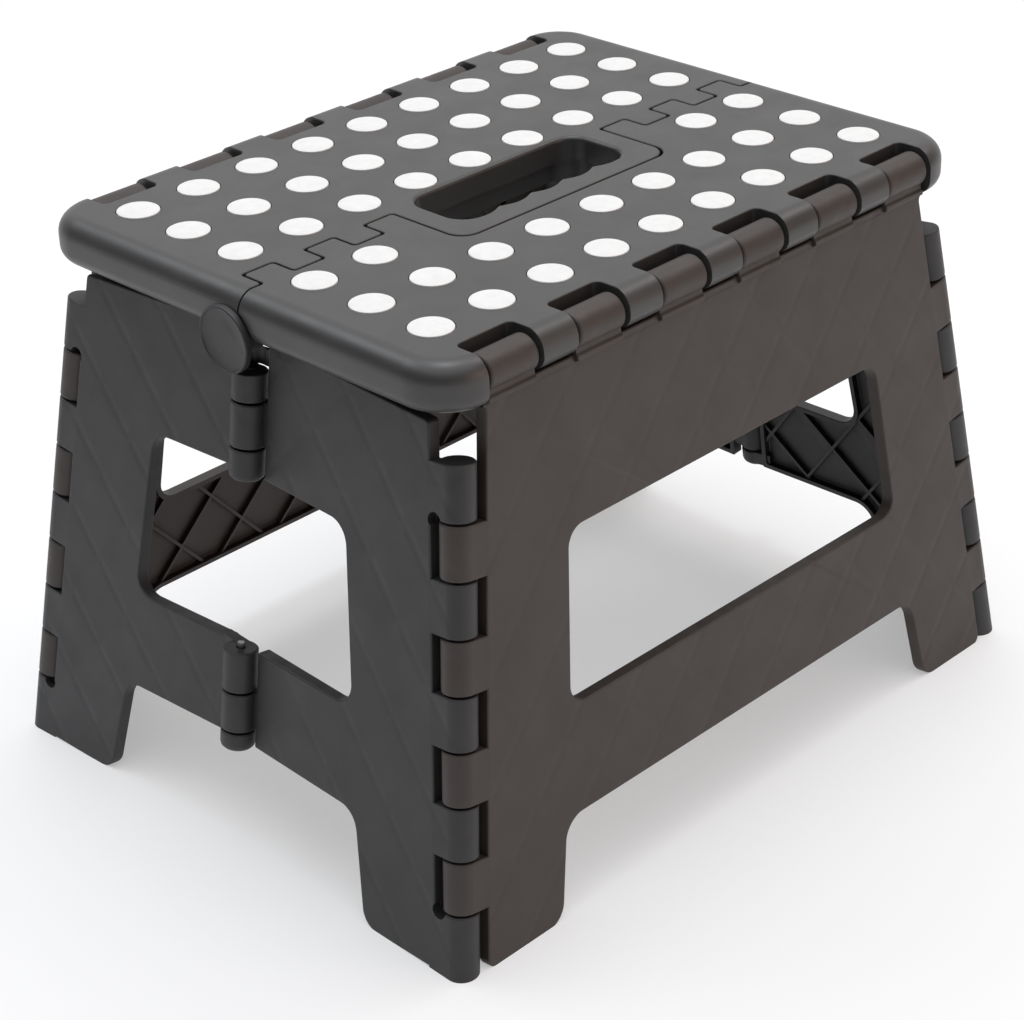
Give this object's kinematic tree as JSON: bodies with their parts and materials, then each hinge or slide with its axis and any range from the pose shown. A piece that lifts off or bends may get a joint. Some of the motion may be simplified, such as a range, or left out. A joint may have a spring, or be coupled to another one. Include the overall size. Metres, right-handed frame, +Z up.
{
  "type": "folding step stool",
  "caption": "Folding plastic step stool with a dotted non-slip deck, a hand slot, hinged side panels with windows, and end panels that fold inwards.",
  "frame": {"origin": "on the floor, under the middle of the deck", "axes": "+Z up, +X along the deck's fold line, +Y towards the half that carries the handle"},
  "size_m": [0.3172, 0.2474, 0.2204],
  "materials": {
    "plastic": "dark grey moulded polypropylene with a fine grain",
    "grip": "white soft-touch rubber",
    "pin": "plain steel wire"
  },
  "bodies": {
    "side_back": {"side_panel_back": "plastic", "deck_side_pin_back": "pin", "corner_pin_left_back": "pin", "corner_pin_right_back": "pin"},
    "deck_back": {"deck_half_back": "plastic", "grip_dots_back_inner": "grip", "grip_dots_back_middle": "grip", "grip_dots_back_outer": "grip", "deck_fold_pin_left": "pin", "deck_fold_pin_right": "pin"},
    "deck_front": {"deck_half_front": "plastic", "grip_dots_front_inner_left": "grip", "grip_dots_front_inner_right": "grip", "grip_dots_front_middle": "grip", "grip_dots_front_outer": "grip"},
    "side_front": {"side_panel_front": "plastic", "deck_side_pin_front": "pin", "corner_pin_left_front": "pin", "corner_pin_right_front": "pin"},
    "end_left_back": {"end_panel_left_back": "plastic", "end_pin_left_upper": "pin", "end_pin_left_lower": "pin"},
    "end_left_front": {"end_panel_left_front": "plastic"},
    "end_right_back": {"end_panel_right_back": "plastic"},
    "end_right_front": {"end_panel_right_front": "plastic", "end_pin_right_upper": "pin", "end_pin_right_lower": "pin"}
  },
  "joints": [
    {"name": "deck_hinge_back", "type": "hinge", "parent": "side_back", "child": "deck_back", "pos_m": [0, 0.099, 0.212], "axis": [-1, 0, 0], "range_deg": [0, 84.1]},
    {"name": "deck_fold", "type": "hinge", "parent": "deck_back", "child": "deck_front", "pos_m": [0, 0, 0.2016], "axis": [1, 0, 0], "range_deg": [0, 180]},
    {"name": "deck_hinge_front", "type": "hinge", "parent": "deck_front", "child": "side_front", "pos_m": [0, -0.099, 0.212], "axis": [-1, 0, 0], "range_deg": [0, 84.1]},
    {"name": "corner_hinge_left_back", "type": "hinge", "parent": "side_back", "child": "end_left_back", "pos_m": [-0.1216, 0.09512, 0.21159], "axis": [0.1426, -0.1035, 0.9844], "range_deg": [0, 89.1]},
    {"name": "corner_hinge_left_front", "type": "hinge", "parent": "side_front", "child": "end_left_front", "pos_m": [-0.1216, -0.09512, 0.21159], "axis": [-0.1426, -0.1035, -0.9844], "range_deg": [0, 89.1]},
    {"name": "corner_hinge_right_back", "type": "hinge", "parent": "side_back", "child": "end_right_back", "pos_m": [0.1216, 0.09512, 0.21159], "axis": [0.1426, 0.1035, -0.9844], "range_deg": [0, 89.1]},
    {"name": "corner_hinge_right_front", "type": "hinge", "parent": "side_front", "child": "end_right_front", "pos_m": [0.1216, -0.09512, 0.21159], "axis": [-0.1426, 0.1035, 0.9844], "range_deg": [0, 89.1]}
  ],
  "couplings": [
    {"joint": "deck_hinge_back", "follows": "deck_fold", "ratio": 0.46667},
    {"joint": "deck_hinge_front", "follows": "deck_fold", "ratio": 0.46667},
    {"joint": "corner_hinge_left_back", "follows": "deck_fold", "ratio": 0.49444},
    {"joint": "corner_hinge_left_front", "follows": "deck_fold", "ratio": 0.49444},
    {"joint": "corner_hinge_right_back", "follows": "deck_fold", "ratio": 0.49444},
    {"joint": "corner_hinge_right_front", "follows": "deck_fold", "ratio": 0.49444}
  ]
}
